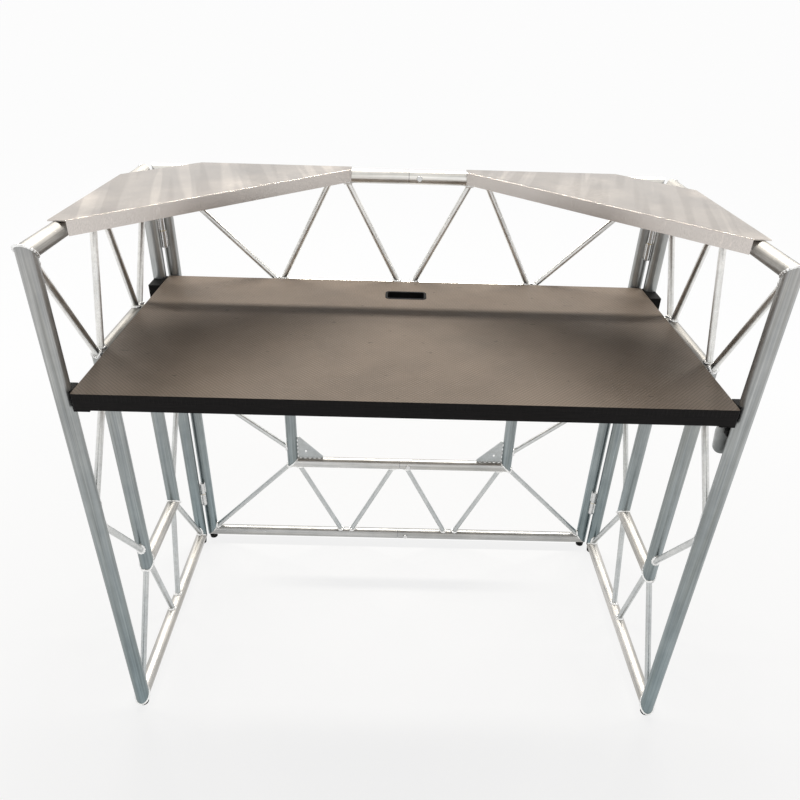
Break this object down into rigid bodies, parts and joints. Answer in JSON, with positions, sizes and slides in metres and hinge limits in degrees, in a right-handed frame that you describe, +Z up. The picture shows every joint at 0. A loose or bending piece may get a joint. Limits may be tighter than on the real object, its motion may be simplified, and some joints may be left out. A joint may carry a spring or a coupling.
{
  "type": "dj booth",
  "caption": "Folding DJ booth of welded aluminium tube truss with hinged wings, a drop-in dark table board with a cable slot, and triangular corner shelves.",
  "frame": {"origin": "on the floor, in the middle of the booth's outline", "axes": "+X to the operator's right along the front panel, +Y from the operator towards the audience, +Z up"},
  "size_m": [1.272, 0.632, 1.1603],
  "materials": {
    "tube_aluminium": "satin, natural",
    "brace_aluminium": "satin, natural",
    "plate_aluminium": "satin, natural",
    "spigot_aluminium": "drawn",
    "shelf_aluminium": "brushed, natural",
    "hinge_steel": "bright plated",
    "pin_steel": "ground",
    "spring_steel": "blued",
    "button_steel": "bright plated",
    "washer_brass": "plain",
    "foot_rubber": "matt",
    "rest_plastic": "moulded, matt",
    "bolt_black": "black oxide",
    "board_top": "resin film with a fine non-slip mesh",
    "board_under": "smooth resin film",
    "grommet_plastic": "moulded, fine grain"
  },
  "bodies": {
    "frame": {"front_left_post": "tube_aluminium", "front_right_post": "tube_aluminium", "front_top_rail_left": "tube_aluminium", "front_top_rail_right": "tube_aluminium", "front_table_rail_left": "tube_aluminium", "front_table_rail_right": "tube_aluminium", "front_low_rail_left": "tube_aluminium", "front_low_rail_right": "tube_aluminium", "front_bottom_rail_left": "tube_aluminium", "front_bottom_rail_right": "tube_aluminium", "front_uprights": "tube_aluminium", "front_upper_braces": "brace_aluminium", "front_side_braces": "brace_aluminium", "front_lower_braces": "brace_aluminium", "front_gussets": "plate_aluminium", "rail_spigots": "spigot_aluminium", "front_hinge_knuckles": "hinge_steel", "hinge_pins": "pin_steel", "hinge_washers": "washer_brass", "snap_springs": "spring_steel", "front_feet": "foot_rubber"},
    "left_wing": {"left_wing_near_post": "tube_aluminium", "left_wing_corner_post": "tube_aluminium", "left_wing_top_rail": "tube_aluminium", "left_wing_table_rail": "tube_aluminium", "left_wing_bottom_rail": "tube_aluminium", "left_wing_low_rail": "tube_aluminium", "left_wing_uprights": "tube_aluminium", "left_wing_upper_braces": "brace_aluminium", "left_wing_lower_braces": "brace_aluminium", "left_wing_hinge_knuckles": "hinge_steel", "left_wing_feet": "foot_rubber", "left_table_rests": "rest_plastic"},
    "left_shelf": {"left_shelf": "shelf_aluminium"},
    "right_wing": {"right_wing_near_post": "tube_aluminium", "right_wing_corner_post": "tube_aluminium", "right_wing_top_rail": "tube_aluminium", "right_wing_table_rail": "tube_aluminium", "right_wing_bottom_rail": "tube_aluminium", "right_wing_low_rail": "tube_aluminium", "right_wing_uprights": "tube_aluminium", "right_wing_upper_braces": "brace_aluminium", "right_wing_lower_braces": "brace_aluminium", "right_wing_hinge_knuckles": "hinge_steel", "right_wing_feet": "foot_rubber", "right_table_rests": "rest_plastic", "right_prop_lug": "plate_aluminium", "right_prop_bolt": "bolt_black"},
    "right_shelf": {"right_shelf": "shelf_aluminium"},
    "right_prop": {"right_prop_tab": "plate_aluminium"},
    "table": {"table_board": "board_top", "table_underlay": "board_under", "cable_grommet": "grommet_plastic"},
    "top_snap_button": {"top_snap_button": "button_steel"},
    "table_snap_button": {"table_snap_button": "button_steel"},
    "low_snap_button": {"low_snap_button": "button_steel"},
    "bottom_snap_button": {"bottom_snap_button": "button_steel"}
  },
  "joints": [
    {"name": "left_wing_swing", "type": "hinge", "parent": "frame", "child": "left_wing", "pos_m": [-0.59738, 0.27738, 0.5975], "axis": [0, 0, -1], "range_deg": [0, 34]},
    {"name": "left_shelf_lift", "type": "slide", "parent": "frame", "child": "left_shelf", "axis": [0, 0, 1], "range_m": [0, 0.2]},
    {"name": "right_wing_swing", "type": "hinge", "parent": "frame", "child": "right_wing", "pos_m": [0.59738, 0.27738, 0.5975], "axis": [0, 0, 1], "range_deg": [0, 34]},
    {"name": "right_shelf_lift", "type": "slide", "parent": "frame", "child": "right_shelf", "axis": [0, 0, 1], "range_m": [0, 0.2]},
    {"name": "right_prop_swing", "type": "hinge", "parent": "right_wing", "child": "right_prop", "pos_m": [0.612, -0.2767, 0.8202], "axis": [0, 1, 0], "range_deg": [0, 90]},
    {"name": "table_lift", "type": "slide", "parent": "frame", "child": "table", "axis": [0, 0, 1], "range_m": [0, 0.07]},
    {"name": "top_button_press", "type": "slide", "parent": "frame", "child": "top_snap_button", "axis": [0, 1, 0], "range_m": [0, 0.004], "stiffness_N_per_m": 900, "springref_m": -0.002},
    {"name": "table_button_press", "type": "slide", "parent": "frame", "child": "table_snap_button", "axis": [0, 0, 1], "range_m": [0, 0.004], "stiffness_N_per_m": 900, "springref_m": -0.002},
    {"name": "low_button_press", "type": "slide", "parent": "frame", "child": "low_snap_button", "axis": [0, 1, 0], "range_m": [0, 0.004], "stiffness_N_per_m": 900, "springref_m": -0.002},
    {"name": "bottom_button_press", "type": "slide", "parent": "frame", "child": "bottom_snap_button", "axis": [0, 1, 0], "range_m": [0, 0.004], "stiffness_N_per_m": 900, "springref_m": -0.002}
  ]
}
